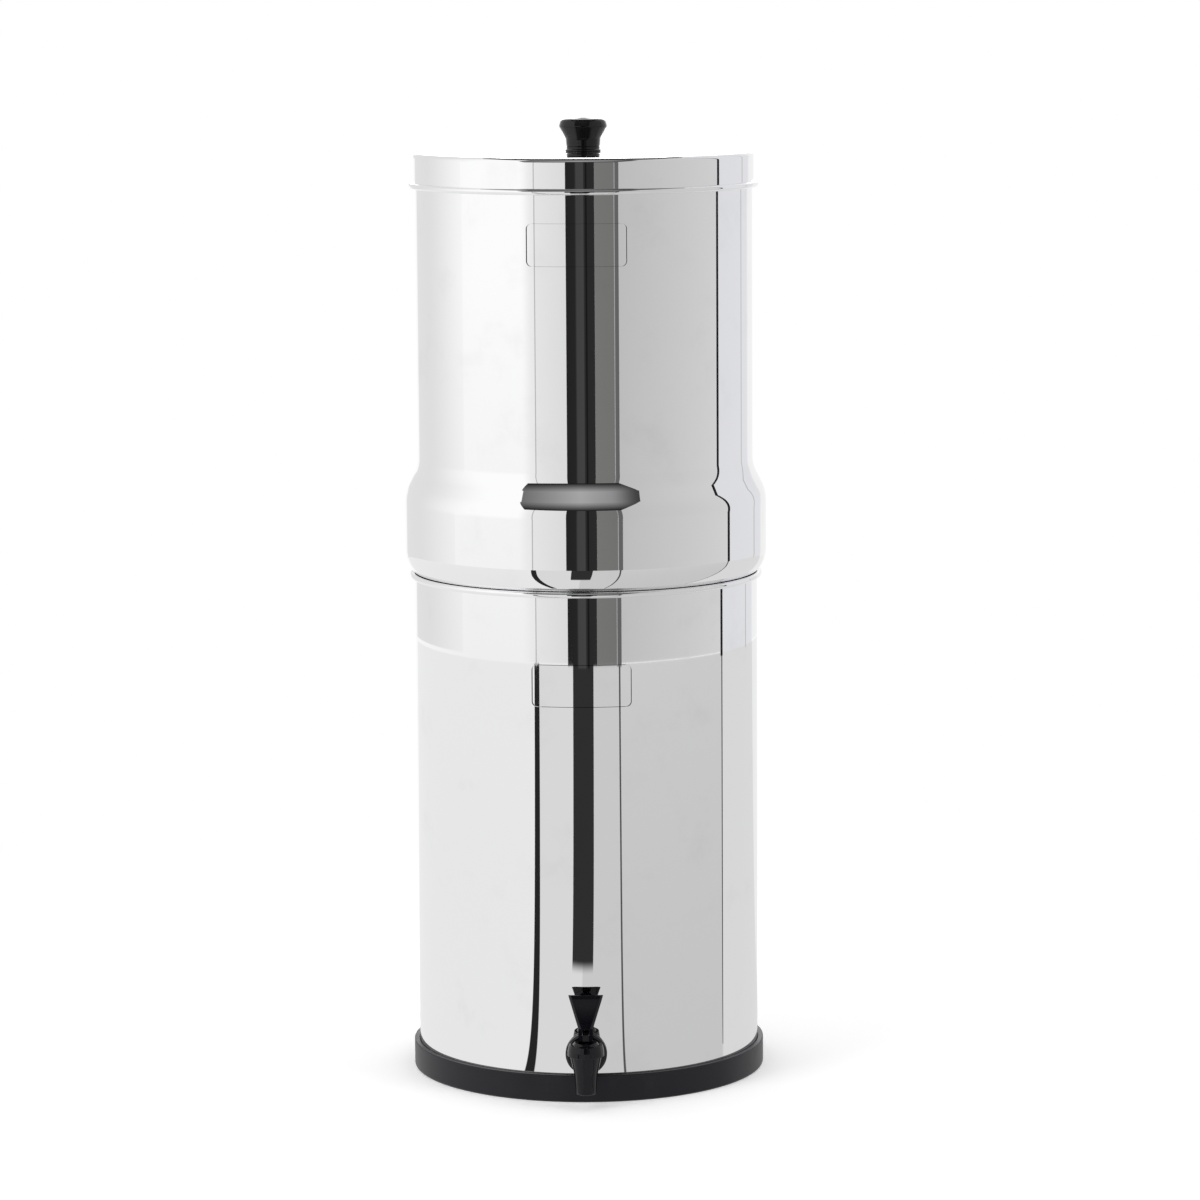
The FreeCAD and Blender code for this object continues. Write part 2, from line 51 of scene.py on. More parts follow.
class Level:  # a number that changes over a surface; arithmetic on it adds Math nodes
    def __init__(self, tree, socket):
        self.tree = tree
        self.socket = socket

    def combine(self, operation, first, second=0.0):
        node = self.tree.nodes.new("ShaderNodeMath")
        node.operation = operation
        for slot, value in zip(node.inputs, (first, second)):
            if isinstance(value, Level):
                self.tree.links.new(value.socket, slot)
            else:
                slot.default_value = value
        return Level(self.tree, node.outputs[0])

    def size(self):
        return self.combine("ABSOLUTE", self)

    def __add__(self, other):
        return self.combine("ADD", self, other)

    def __radd__(self, other):
        return self.combine("ADD", other, self)

    def __sub__(self, other):
        return self.combine("SUBTRACT", self, other)

    def __rsub__(self, other):
        return self.combine("SUBTRACT", other, self)

    def __mul__(self, other):
        return self.combine("MULTIPLY", self, other)

    def power(self, other):
        return self.combine("POWER", self, other)

    def largest(self, other):
        return self.combine("MAXIMUM", self, other)


class Shader:  # one material's or the world's node tree
    def __init__(self, owner):
        owner.use_nodes = True
        self.tree = owner.node_tree
        self.tree.nodes.clear()

    def add(self, kind, settings=None, inputs=None):
        node = self.tree.nodes.new("ShaderNode" + kind)
        for key, value in (settings or {}).items():
            if key == "stops":
                ramp = node.color_ramp.elements
                while len(ramp) < len(value):
                    ramp.new(1.0)
                for stop, (position, colour) in zip(ramp, value):
                    stop.position = position
                    stop.color = colour
            else:
                setattr(node, key, value)
        for key, value in (inputs or {}).items():
            slot = node.inputs[key]
            if isinstance(value, Level):
                self.tree.links.new(value.socket, slot)
            elif isinstance(value, bpy.types.NodeSocket):
                self.tree.links.new(value, slot)
            else:
                slot.default_value = value
        return node

    def level(self, kind, settings=None, inputs=None, output=0):
        return Level(self.tree, self.add(kind, settings, inputs).outputs[output])

    def eased(self, value, low, high):
        return self.level("MapRange", {"interpolation_type": "SMOOTHSTEP"},
                          {"Value": value, "From Min": low, "From Max": high})

    def coordinates(self):
        spread = self.add("SeparateXYZ", None, {"Vector": self.add("TexCoord").outputs["Object"]})
        return [Level(self.tree, spread.outputs[i]) for i in range(3)]

    def place(self, stretch=(1, 1, 1)):
        coords = self.add("TexCoord").outputs["Object"]
        return self.add("Mapping", None, {"Vector": coords, "Scale": stretch}).outputs[0]

    def noise(self, stretch, size, detail=3.0, roughness=0.5):
        return self.level("TexNoise", None, {"Vector": self.place(stretch), "Scale": size,
                                             "Detail": detail, "Roughness": roughness})


def newMaterial(name):
    material = bpy.data.materials.new(name)
    return material, Shader(material)


def finishSurface(shader, values, height, strength, distance):
    # the usual principled surface with a bump
    bump = shader.add("Bump", None, {"Height": height, "Strength": strength, "Distance": distance})
    surface = shader.add("BsdfPrincipled", None, dict(values, Normal=bump.outputs[0]))
    shader.add("OutputMaterial", None, {"Surface": surface.outputs[0]})


steelFinish = {
    "colour": (0.90, 0.90, 0.905, 1),
    "smudgedColour": (0.86, 0.86, 0.87, 1),
    "smudgeSize": 22,
    "smudgeFrom": 0.52,
    "smudgeTo": 0.75,
    "roughness": 0.012,
    "smudgeRoughness": 0.03,
    "wipeStretch": 14,
    "wipeSize": 60,
    "wipeRoughness": 0.006,
    "waveStretch": 0.6,
    "waveSize": 9.0,
    "waveStrength": 0.12,
    "waveDepth": 0.35 * mm,
}


def polishedSteel(name, wave=1.0, roughness=steelFinish["roughness"], paintedShade=1.0):
    material, shader = newMaterial(name)
    finish = steelFinish
    smudge = shader.eased(shader.noise((1, 1, 1), finish["smudgeSize"], 4, 0.6),
                          finish["smudgeFrom"], finish["smudgeTo"])
    wipe = shader.noise((1, 1, finish["wipeStretch"]), finish["wipeSize"], 2, 0.5)
    rough = (roughness + smudge * (finish["smudgeRoughness"] - finish["roughness"])
             + wipe * finish["wipeRoughness"])
    # a factor below 1 darkens the steel's colour: painted shade, not a different steel
    clean, smudged = ([paintedShade * part for part in finish[key][:3]] + [1] for key in ("colour", "smudgedColour"))
    tone = shader.add("Mix", {"data_type": "RGBA"}, {"Factor": smudge, "A": clean, "B": smudged})
    swell = shader.noise((1, 1, finish["waveStretch"]), finish["waveSize"], 1.5, 0.4)
    finishSurface(shader, {"Base Color": tone.outputs[2], "Metallic": 1.0, "Roughness": rough},
                  swell, finish["waveStrength"] * wave, finish["waveDepth"])
    return material


plasticFinish = {
    "speckSize": 900,
    "patchSize": 60,
    "patchDarker": 0.7,
    "patchHeight": 2.0,
    "leastRoughness": 0.8,
    "addedRoughness": 0.4,
    "depth": 0.05 * mm,
}


def glossPlastic(name, colour, roughness, grain, shine=0.5):
    material, shader = newMaterial(name)
    finish = plasticFinish
    speck = shader.noise((1, 1, 1), finish["speckSize"], 2, 0.5)
    patch = shader.noise((1, 1, 1), finish["patchSize"], 3, 0.6)
    darker = tuple(finish["patchDarker"] * part for part in colour[:3]) + (1,)
    tone = shader.add("Mix", {"data_type": "RGBA"}, {"Factor": patch, "A": colour, "B": darker})
    rough = roughness * finish["leastRoughness"] + patch * roughness * finish["addedRoughness"]
    finishSurface(shader, {"Base Color": tone.outputs[2], "Roughness": rough, "Specular IOR Level": shine},
                  speck + patch * finish["patchHeight"], grain, finish["depth"])
    return material


rubberFinish = {
    "dustSize": 40,
    "dustFrom": 0.55,
    "dustTo": 0.8,
    "dustPaler": 0.008,
    "roughness": 0.42,
    "dustRoughness": 0.15,
    "shine": 0.3,
    "grainSize": 1500,
    "grainStrength": 0.12,
    "grainDepth": 0.05 * mm,
}


def rubber(name, colour):
    material, shader = newMaterial(name)
    finish = rubberFinish
    dust = shader.eased(shader.noise((1, 1, 1), finish["dustSize"], 5, 0.7),
                        finish["dustFrom"], finish["dustTo"])
    pale = tuple(part + finish["dustPaler"] for part in colour[:3]) + (1,)
    tone = shader.add("Mix", {"data_type": "RGBA"}, {"Factor": dust, "A": colour, "B": pale})
    rough = finish["roughness"] + dust * finish["dustRoughness"]
    grain = shader.noise((1, 1, 1), finish["grainSize"], 2, 0.5)
    finishSurface(shader, {"Base Color": tone.outputs[2], "Roughness": rough,
                           "Specular IOR Level": finish["shine"]},
                  grain, finish["grainStrength"], finish["grainDepth"])
    return material


carbonFinish = {
    "stops": [(0.3, (0.012, 0.012, 0.013, 1)), (0.7, (0.05, 0.05, 0.052, 1))],
    "grainSize": 700,
    "grainStrength": 0.5,
    "grainDepth": 0.3 * mm,
    "roughness": 0.85,
}


def carbonBlock(name):
    material, shader = newMaterial(name)
    finish = carbonFinish
    grain = shader.noise((1, 1, 1), finish["grainSize"], 4, 0.7)
    tone = shader.add("ValToRGB", {"stops": finish["stops"]}, {"Fac": grain})
    finishSurface(shader, {"Base Color": tone.outputs[0], "Roughness": finish["roughness"]},
                  grain, finish["grainStrength"], finish["grainDepth"])
    return material


chrome = polishedSteel("polished_steel")
innerSteel = polishedSteel("inner_steel", wave=1.4, roughness=0.14)
# the panels' ridges are painted darker than the walls, painted shade standing in for the dark lines their
# slopes reflect, so that their lines show
ridgeShadeSteel = polishedSteel("ridge_painted_shade_steel", roughness=0.05, paintedShade=0.60)
smallSteel = polishedSteel("small_steel", wave=0.5, roughness=0.12)
glossBlack = glossPlastic("gloss_black", (0.005, 0.005, 0.006, 1), roughness=0.11, grain=0.03, shine=0.35)
tapBlack = glossPlastic("tap_black", (0.0045, 0.004, 0.0065, 1), roughness=0.09, grain=0.03, shine=0.30)
ringRubber = rubber("black_rubber", (0.009, 0.008, 0.012, 1))
sealSilicone = rubber("seal_silicone", (0.25, 0.25, 0.26, 1))
nutPlastic = glossPlastic("nut_plastic", (0.55, 0.55, 0.54, 1), roughness=0.35, grain=0.08)
carbon = carbonBlock("carbon_block")

slotFinishes = {
    "polished_steel": chrome, "gloss_black_plastic": tapBlack, "black_plastic": tapBlack,
    "black_rubber": ringRubber, "carbon_block": carbon, "nut_plastic": nutPlastic,
    "seal_silicone": sealSilicone, "small_steel": smallSteel,
}
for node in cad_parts.values():
    for slot in node.material_slots:
        slot.material = slotFinishes[slot.material.name.split(".")[0]]
print("finishes made")

aroundSteps = 192
bonnetSteps = 128
smallSteps = 96
neckSteps = 48
arcSteps = 10
supportGap = 0.02 * mm


def traceOutline(bm, corners, closed=False):
    # corners are (radius, height, rounding); a rounding is an arc spun about its own centre
    places = [Vector((r, 0, z)) for r, z, rounding in corners]
    count = len(corners)
    firstVert = lastVert = None
    for i, (r, z, rounding) in enumerate(corners):
        start = end = bm.verts.new(places[i])
        if rounding > 0 and (closed or 0 < i < count - 1):
            back = (places[i - 1] - places[i]).normalized()
            ahead = (places[(i + 1) % count] - places[i]).normalized()
            half = back.angle(ahead) / 2
            start.co = places[i] + back * rounding / math.tan(half)
            far = places[i] + ahead * rounding / math.tan(half)
            centre = places[i] + (back + ahead).normalized() * rounding / math.sin(half)
            axis = (start.co - centre).cross(far - centre).normalized()
            arc = bmesh.ops.spin(bm, geom=[start], cent=centre, axis=axis,
                                 angle=math.pi - 2 * half, steps=arcSteps)
            end = [part for part in arc["geom_last"] if isinstance(part, bmesh.types.BMVert)][0]
            # a close vertex on each side keeps the shading of the straight runs flat
            before = bm.verts.new(start.co + back * supportGap)
            after = bm.verts.new(end.co + ahead * supportGap)
            bm.edges.new((before, start))
            bm.edges.new((end, after))
            start, end = before, after
        if lastVert:
            bm.edges.new((lastVert, start))
        firstVert = firstVert or start
        lastVert = end
    if closed:
        bm.edges.new((lastVert, firstVert))


def spinRound(bm, steps=aroundSteps):
    bmesh.ops.spin(bm, geom=bm.verts[:] + bm.edges[:], cent=(0, 0, 0), axis=up,
                   angle=2 * math.pi, steps=steps, use_merge=True)
    bmesh.ops.remove_doubles(bm, verts=bm.verts[:], dist=1e-6)
    bmesh.ops.recalc_face_normals(bm, faces=bm.faces[:])


def meshFrom(name, bm):
    mesh = bpy.data.meshes.new(name)
    bm.to_mesh(mesh)
    bm.free()
    return mesh


def addObject(name, data):
    piece = bpy.data.objects.new(name, data)
    scene.collection.objects.link(piece)
    return piece


def makePiece(name, bm, body, material, replaced=(), sharpAngle=32, inner=None):
    mesh = meshFrom(name, bm)
    mesh.materials.append(material)
    for face in mesh.polygons:
        face.use_smooth = True
    if inner:  # faces that look at the axis, or the way the hollow opens, have the inside finish
        mesh.materials.append(inner["material"])
        for face in mesh.polygons:
            outward = face.normal.x * face.center.x + face.normal.y * face.center.y
            if outward < -1e-5 or face.normal.z * inner["opens"] > 0.5:
                face.material_index = 1
    mesh.set_sharp_from_angle(angle=math.radians(sharpAngle))
    piece = addObject(name, mesh)
    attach(piece, body)
    if replaced:
        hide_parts(*replaced)


def addTo(bm, other):
    # moves one bmesh's geometry into another
    mesh = meshFrom("part", other)
    bm.from_mesh(mesh)
    bpy.data.meshes.remove(mesh)


def turned(corners, closed=False, steps=aroundSteps):
    bm = bmesh.new()
    traceOutline(bm, corners, closed)
    spinRound(bm, steps=steps)
    return bm


def sheetWall(bm, thickness):
    bmesh.ops.solidify(bm, geom=bm.faces[:], thickness=thickness)


def rolledBead(wallRadius, height):
    # a round bead just outside a wall of that radius
    bead = sheet["beadRadius"]
    bm = bmesh.new()
    bmesh.ops.create_circle(bm, segments=sheet["beadSteps"], radius=bead)
    bmesh.ops.rotate(bm, verts=bm.verts[:], matrix=Matrix.Rotation(math.pi / 2, 3, "X"))
    bmesh.ops.translate(bm, verts=bm.verts[:], vec=(wallRadius - sheet["wall"] + bead, 0, height))
    spinRound(bm)
    return bm


sheet = {
    "wall": 0.8 * mm,
    "beadRadius": 2.3 * mm,
    "beadSteps": 24,
}

lowerChamber = {
    "radius": 136.5 * mm,
    "corner": 6.0 * mm,
    "beadHeight": 399.3 * mm,
    "floor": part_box("lower_chamber")[0][2],
}

upperChamber = {
    "radius": 133.2 * mm,
    "bulgeStep": 10.6 * mm,
    "bulgeCorner": 25.0 * mm,
    "shoulderHeight": 81.2 * mm,
    "shoulderTilt": math.radians(27.0),
    "shoulderRound": 29.5 * mm,
    "hemHeight": 8.0 * mm,
    "floor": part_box("upper_chamber")[0][2],
    "top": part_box("upper_chamber")[1][2],
}

lidShell = {
    "radius": 134.3 * mm,
    "corner": 4.0 * mm,
    "skirt": 25.8 * mm,
    "top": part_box("lid")[1][2],
}


def makeLowerChamber():
    size = lowerChamber
    bm = turned([(0, size["floor"], 0), (size["radius"], size["floor"], size["corner"]),
                 (size["radius"], size["beadHeight"], 0)])
    sheetWall(bm, sheet["wall"])
    addTo(bm, rolledBead(size["radius"], size["beadHeight"]))
    makePiece("lower_shell", bm, "base", chrome, ["lower_chamber"],
              inner={"material": innerSteel, "opens": 1})


def makeUpperChamber():
    size = upperChamber
    wall = sheet["wall"]
    bulge = size["radius"] + size["bulgeStep"]
    slope = size["bulgeStep"] / math.tan(size["shoulderTilt"])
    shoulder = size["floor"] + size["shoulderHeight"]
    bm = turned([(0, size["floor"], 0), (bulge, size["floor"], size["bulgeCorner"]),
                 (bulge, shoulder - slope / 2, size["shoulderRound"]),
                 (size["radius"], shoulder + slope / 2, size["shoulderRound"]),
                 (size["radius"], size["top"] - wall / 2, 0)])
    sheetWall(bm, wall)
    hemInside = size["radius"] - 2 * wall
    hemOutside = size["radius"] - wall / 2
    hemLow = size["top"] - size["hemHeight"]
    addTo(bm, turned([(hemInside, hemLow, wall / 2), (hemOutside, hemLow, 0),
                      (hemOutside, size["top"] - wall / 2, 0), (size["radius"] - wall, size["top"], 0),
                      (hemInside, size["top"], wall / 2)], closed=True))
    makePiece("upper_shell", bm, "upper", chrome, ["upper_chamber"],
              inner={"material": innerSteel, "opens": 1})


def makeLid():
    size = lidShell
    skirtLow = size["top"] - size["skirt"]
    bm = turned([(0, size["top"], 0), (size["radius"], size["top"], size["corner"]),
                 (size["radius"], skirtLow, 0)])
    sheetWall(bm, sheet["wall"])
    addTo(bm, rolledBead(size["radius"], skirtLow))
    makePiece("lid_shell", bm, "cover", chrome, ["lid"],
              inner={"material": innerSteel, "opens": -1})


panel = {
    "width": 80.0 * mm,
    "height": 35.0 * mm,
    "corner": 4.0 * mm,
    "ridge": 1.15 * mm,
    "rise": 0.75 * mm,
    "roundSteps": 16,
    "sideSteps": 24,
    "cornerSteps": 8,
}


def makePanel(name, body, radius, height, turn):
    # a rounded ridge run round a rectangle with bent corners, then wrapped on the chamber
    halfWide = panel["width"] / 2 - panel["ridge"]
    halfHigh = panel["height"] / 2 - panel["ridge"]
    corner = panel["corner"]
    bm = bmesh.new()
    bmesh.ops.create_circle(bm, segments=panel["roundSteps"], radius=1.0)
    bmesh.ops.scale(bm, verts=bm.verts[:], vec=(panel["ridge"], panel["rise"], 1))
    for axis in "XYX":
        bmesh.ops.rotate(bm, verts=bm.verts[:], matrix=Matrix.Rotation(math.pi / 2, 3, axis))
    bmesh.ops.translate(bm, verts=bm.verts[:], vec=(corner - halfWide, 0, -halfHigh))
    ring = bm.verts[:] + bm.edges[:]
    heading = Vector((1, 0, 0))
    at = Vector((corner - halfWide, 0, -halfHigh))
    for side in range(4):
        length = 2 * ((halfWide, halfHigh)[side % 2] - corner)
        run = bmesh.ops.spin(bm, geom=ring, cent=at, axis=up, angle=0,
                             dvec=heading * length / panel["sideSteps"], steps=panel["sideSteps"])
        at = at + heading * length
        inward = Vector((-heading.z, 0, heading.x))
        bend = bmesh.ops.spin(bm, geom=run["geom_last"], cent=at + inward * corner, axis=(0, -1, 0),
                              angle=math.pi / 2, steps=panel["cornerSteps"])
        ring = bend["geom_last"]
        at = at + inward * corner + heading * corner
        heading = inward
    bmesh.ops.remove_doubles(bm, verts=bm.verts[:], dist=1e-5)
    for vert in bm.verts:
        bearing = vert.co.x / radius + turn
        out = radius - vert.co.y
        vert.co = Vector((out * math.sin(bearing), -out * math.cos(bearing), vert.co.z + height))
    bmesh.ops.recalc_face_normals(bm, faces=bm.faces[:])
    # the ridges take the darkened steel: painted shade for their dark lines
    makePiece(name, bm, body, ridgeShadeSteel, sharpAngle=60)


baseRing = {
    "inner": 136.7 * mm,
    "wall": 4.3 * mm,
    "height": 21.5 * mm,
    "ledge": 122.5 * mm,
    "ledgeHeight": 3.0 * mm,
    "footRound": 2.0 * mm,
    "lipRound": 0.75 * mm,
}


def makeBaseRing():
    size = baseRing
    outer = size["inner"] + size["wall"]
    bm = turned([(size["ledge"], 0, 0), (outer, 0, size["footRound"]),
                 (outer, size["height"], size["lipRound"]), (size["inner"], size["height"], size["lipRound"]),
                 (size["inner"], size["ledgeHeight"], 0),
                 (size["ledge"], size["ledgeHeight"], size["lipRound"])], closed=True)
    makePiece("foot_ring", bm, "base", ringRubber, ["base_ring"])


knob = {
    "low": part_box("lid_knob")[0][2],
    "top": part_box("lid_knob")[1][2],
    "neck": 13.1 * mm,
    "flare": 0.5 * mm,
    "waistDown": 18.3 * mm,
    "rim": 19.0 * mm,
    "rimDown": 8.4 * mm,
    "rimRound": 2.4 * mm,
    "crown": 17.4 * mm,
    "crownDown": 3.0 * mm,
    "waistRound": 4.0 * mm,
    "dome": 10.0 * mm,
    "domeDown": 1.1 * mm,
    "domeRound": 12.0 * mm,
    "edge": 0.5 * mm,
    "screw": 2.55 * mm,
    "grip": 14.0 * mm,
}

collar = {
    "low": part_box("knob_collar")[0][2],
    "top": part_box("knob_collar")[1][2],
    "bore": 2.7 * mm,
    "foot": 14.0 * mm,
    "footHeight": 1.3 * mm,
    "footRound": 0.4 * mm,
    "slopeHeight": 1.95 * mm,
}


def makeKnob():
    size = knob
    low = size["low"]
    top = size["top"]
    bm = turned([(size["screw"], low, 0), (size["neck"], low, size["edge"]),
                 (size["neck"] + size["flare"], top - size["waistDown"], size["waistRound"]),
                 (size["rim"], top - size["rimDown"], size["rimRound"]),
                 (size["crown"], top - size["crownDown"], size["waistRound"]),
                 (size["dome"], top - size["domeDown"], size["domeRound"]), (0, top, 0),
                 (0, low + size["grip"], 0), (size["screw"], low + size["grip"], 0)],
                closed=True, steps=smallSteps)
    makePiece("knob_body", bm, "cover", glossBlack, ["lid_knob"], sharpAngle=40)


def makeCollar():
    size = collar
    low = size["low"]
    bm = turned([(size["bore"], low, 0), (size["foot"], low, knob["edge"]),
                 (size["foot"], low + size["footHeight"], size["footRound"]),
                 (knob["neck"], low + size["slopeHeight"], knob["edge"]),
                 (knob["neck"], size["top"], knob["edge"]), (size["bore"], size["top"], 0)],
                closed=True, steps=smallSteps)
    makePiece("knob_foot", bm, "cover", glossBlack, ["knob_collar"], sharpAngle=40)


makeLowerChamber()
makeUpperChamber()
makeLid()
makePanel("lower_panel", "base", lowerChamber["radius"], 328.2 * mm, math.radians(-0.8))
makePanel("upper_panel", "upper", upperChamber["radius"], upperChamber["top"] - 62.7 * mm, math.radians(-1.6))
makeBaseRing()
makeKnob()
makeCollar()
print("chambers, lid, ring and knob made")

tap = {
    "axis": -160.5 * mm,
    "tip": 12.4 * mm,
    "tipRadius": 7.9 * mm,
    "outlet": 5.6 * mm,
    "lipRound": 0.9 * mm,
    "waist": 9.2 * mm,
    "waistHeight": 28.3 * mm,
    "waistRound": 20.0 * mm,
    "shoulder": 12.4 * mm,
    "seat": 42.5 * mm,
    "collar": 11.15 * mm,
    "bodyTop": 47.9 * mm,
    "edge": 0.5 * mm,
    "chamber": 8.2 * mm,
    "valveSeat": 30.9 * mm,
    "seatRound": 0.4 * mm,
    "waterway": 3.8 * mm,
    "neck": 6.2 * mm,
    "neckHeight": 35.9 * mm,
    "neckStart": 9.0 * mm,
    "shankHeight": 38.8 * mm,
    "flangeFront": -142.7 * mm,
    "flangeBack": -139.7 * mm,
    "flange": 16.2 * mm,
    "flangeFace": 14.7 * mm,
    "flangeRound": 0.2 * mm,
    "flangeSlope": 1.5 * mm,
    "shank": 7.9 * mm,
    "plainEnd": -135.5 * mm,
    "threadStart": -134.5 * mm,
    "threadRoot": 7.35 * mm,
    "pitch": 1.5 * mm,
    "threads": 11,
    "shankEnd": -117.5 * mm,
    "pin": 59.2 * mm,
}


def alongTap(bm, height):
    # a piece turned about Z is laid along Y at that height, its zero at the chambers' axis
    bmesh.ops.rotate(bm, verts=bm.verts[:], matrix=Matrix.Rotation(-math.pi / 2, 3, "X"))
    bmesh.ops.translate(bm, verts=bm.verts[:], vec=(0, 0, height))
    return bm


def makeTapBody():
    size = tap
    bm = turned([(size["outlet"], size["tip"], 0), (size["tipRadius"], size["tip"], size["lipRound"]),
                 (size["waist"], size["waistHeight"], size["waistRound"]),
                 (size["shoulder"], size["seat"], 0), (size["collar"], size["seat"], 0),
                 (size["collar"], size["bodyTop"], size["edge"]),
                 (size["chamber"], size["bodyTop"], 0), (size["chamber"], size["valveSeat"], 0),
                 (size["outlet"], size["valveSeat"], size["seatRound"])], closed=True, steps=smallSteps)
    bmesh.ops.translate(bm, verts=bm.verts[:], vec=(0, size["axis"], 0))
    near = size["axis"] + size["neckStart"]
    far = size["flangeFront"] + mm
    neck = turned([(size["waterway"], near, 0), (size["neck"], near, 0),
                   (size["neck"], far, 0), (size["waterway"], far, 0)], closed=True, steps=neckSteps)
    addTo(bm, alongTap(neck, size["neckHeight"]))
    ridges = []
    for turn in range(size["threads"]):
        root = size["threadStart"] + turn * size["pitch"]
        ridges += [(size["threadRoot"], root, 0), (size["shank"], root + size["pitch"] / 2, 0)]
    shank = turned([(size["waterway"], size["flangeFront"], 0), (size["flangeFace"], size["flangeFront"], 0),
                    (size["flange"], size["flangeFront"] + size["flangeSlope"], size["lipRound"]),
                    (size["flange"], size["flangeBack"], size["flangeRound"]),
                    (size["shank"], size["flangeBack"], 0), (size["shank"], size["plainEnd"], 0)] + ridges
                   + [(size["threadRoot"], size["shankEnd"], 0), (size["waterway"], size["shankEnd"], 0)],
                   True, smallSteps)
    addTo(bm, alongTap(shank, size["shankHeight"]))
    makePiece("tap_spout", bm, "base", tapBlack, ["tap_body"], sharpAngle=40)


bonnet = {
    "inside": 11.2 * mm,
    "skirt": 14.29 * mm,
    "skirtRound": 0.5 * mm,
    "band": 14.1 * mm,
    "bandHeight": 46.6 * mm,
    "bandRound": 1.2 * mm,
    "rim": 13.1 * mm,
    "rimHeight": 51.3 * mm,
    "rimRound": 0.6 * mm,
    "boss": 10.2 * mm,
    "bossTop": 8.6 * mm,
    "bossHeight": 53.2 * mm,
    "bossRound": 0.4 * mm,
    "bore": 2.57 * mm,
    "ceiling": 48.2 * mm,
}


def makeBonnet():
    size = bonnet
    bm = turned([(size["inside"], tap["seat"], 0), (size["skirt"], tap["seat"], size["skirtRound"]),
                 (size["band"], size["bandHeight"], size["bandRound"]),
                 (size["rim"], size["rimHeight"], size["rimRound"]),
                 (size["boss"], size["rimHeight"], size["bossRound"]),
                 (size["bossTop"], size["bossHeight"], size["bossRound"]),
                 (size["bore"], size["bossHeight"], 0), (size["bore"], size["ceiling"], 0),
                 (size["inside"], size["ceiling"], 0)], closed=True, steps=bonnetSteps)
    bmesh.ops.translate(bm, verts=bm.verts[:], vec=(0, tap["axis"], 0))
    makePiece("tap_cap", bm, "base", tapBlack, ["tap_bonnet"], sharpAngle=30)


def section(bm, height, width, front, back, bevel):
    # closed outline of the paddle at one height, front corners cut
    x = width / 2
    corners = [(-x, back), (x, back), (x, front + bevel), (x - bevel, front), (bevel - x, front),
               (-x, front + bevel)]
    verts = [bm.verts.new((across, along + tap["axis"], height)) for across, along in corners]
    return [bm.edges.new((verts[i - 1], verts[i])) for i in range(len(verts))]


lever = {
    "fork": 11.2 * mm,
    "slot": 5.5 * mm,
    "root": 64.6 * mm,
    "rootFront": -6.4 * mm,
    "rootBack": 2.6 * mm,
    "top": 88.0 * mm,
    "topWidth": 27.2 * mm,
    "topFront": 7.0 * mm,
    "topBack": 10.6 * mm,
    "sideBevel": 2.0 * mm,
    "rootOverlap": 0.5 * mm,
    "tipHeight": 2.5 * mm,
    "tipBevel": 1.4 * mm,
    "edge": 0.45 * mm,
    "foot": 53.35 * mm,
    "heel": 4.0 * mm,
    "travel": 3.2 * mm,
    "swing": math.radians(50),
    "camSteps": 8,
}


def makeLever():
    # the paddle is bridged through three outlines, then its edges are eased
    size = lever
    low = size["root"] - size["rootOverlap"]
    bevelHeight = size["top"] - size["tipHeight"]
    share = (bevelHeight - low) / (size["top"] - low)
    bm = bmesh.new()
    outlines = [section(bm, low, size["fork"], size["rootFront"], size["rootBack"], size["sideBevel"]),
                section(bm, bevelHeight, size["fork"] + share * (size["topWidth"] - size["fork"]),
                        size["rootFront"] + share * (size["topFront"] - size["rootFront"]),
                        size["rootBack"] + share * (size["topBack"] - size["rootBack"]), size["sideBevel"]),
                section(bm, size["top"], size["topWidth"], size["topFront"] + size["tipBevel"],
                        size["topBack"], size["sideBevel"])]
    for lowOutline, highOutline in zip(outlines, outlines[1:]):
        bmesh.ops.bridge_loops(bm, edges=lowOutline + highOutline)
    bmesh.ops.contextual_create(bm, geom=outlines[0])
    bmesh.ops.contextual_create(bm, geom=outlines[2])
    bmesh.ops.recalc_face_normals(bm, faces=bm.faces[:])
    creases = [edge for edge in bm.edges if edge.calc_face_angle(0) > math.radians(25)]
    bmesh.ops.bevel(bm, geom=creases, offset=size["edge"], offset_type="OFFSET", segments=3, profile=0.5,
                    affect="EDGES", material=-1)
    for side in (-1, 1):
        addTo(bm, makeCheek(side))
    makePiece("lever_paddle", bm, "lever", tapBlack, ["tap_lever"], sharpAngle=40)


def makeCheek(side):
    # one cheek of the fork: foot, cam and root as an outline across the pin, pushed out sideways
    size = lever
    rise = size["travel"] / size["swing"]
    places = [(size["heel"], size["foot"])]
    for step in range(size["camSteps"] + 1):
        turn = size["swing"] * step / size["camSteps"]
        reach = tap["pin"] - size["foot"] + rise * turn
        places.append((-reach * math.sin(turn) - rise * math.cos(turn),
                       tap["pin"] - reach * math.cos(turn) + rise * math.sin(turn)))
    places += [(size["rootFront"], size["root"]), (size["rootBack"], size["root"])]
    bm = bmesh.new()
    inside = side * size["slot"] / 2
    verts = [bm.verts.new((inside, tap["axis"] + along, height)) for along, height in places]
    for i in range(len(verts)):
        bm.edges.new((verts[i - 1], verts[i]))
    plate = bmesh.ops.contextual_create(bm, geom=bm.edges[:])["faces"]
    pushed = bmesh.ops.extrude_face_region(bm, geom=plate)
    bmesh.ops.translate(bm, verts=[part for part in pushed["geom"] if isinstance(part, bmesh.types.BMVert)],
                        vec=(side * (size["fork"] - size["slot"]) / 2, 0, 0))
    bmesh.ops.recalc_face_normals(bm, faces=bm.faces[:])
    return bm


makeTapBody()
makeBonnet()
makeLever()
print("tap made")

view = {
    "distance": 3.600,
    "height": 0.8747,
    "orbit": math.radians(0.9),
    "aside": math.radians(0.1766),
    "down": math.radians(7.877),
    "roll": math.radians(-0.355),
    "lens": 136.29,
    "farthest": 50,
}


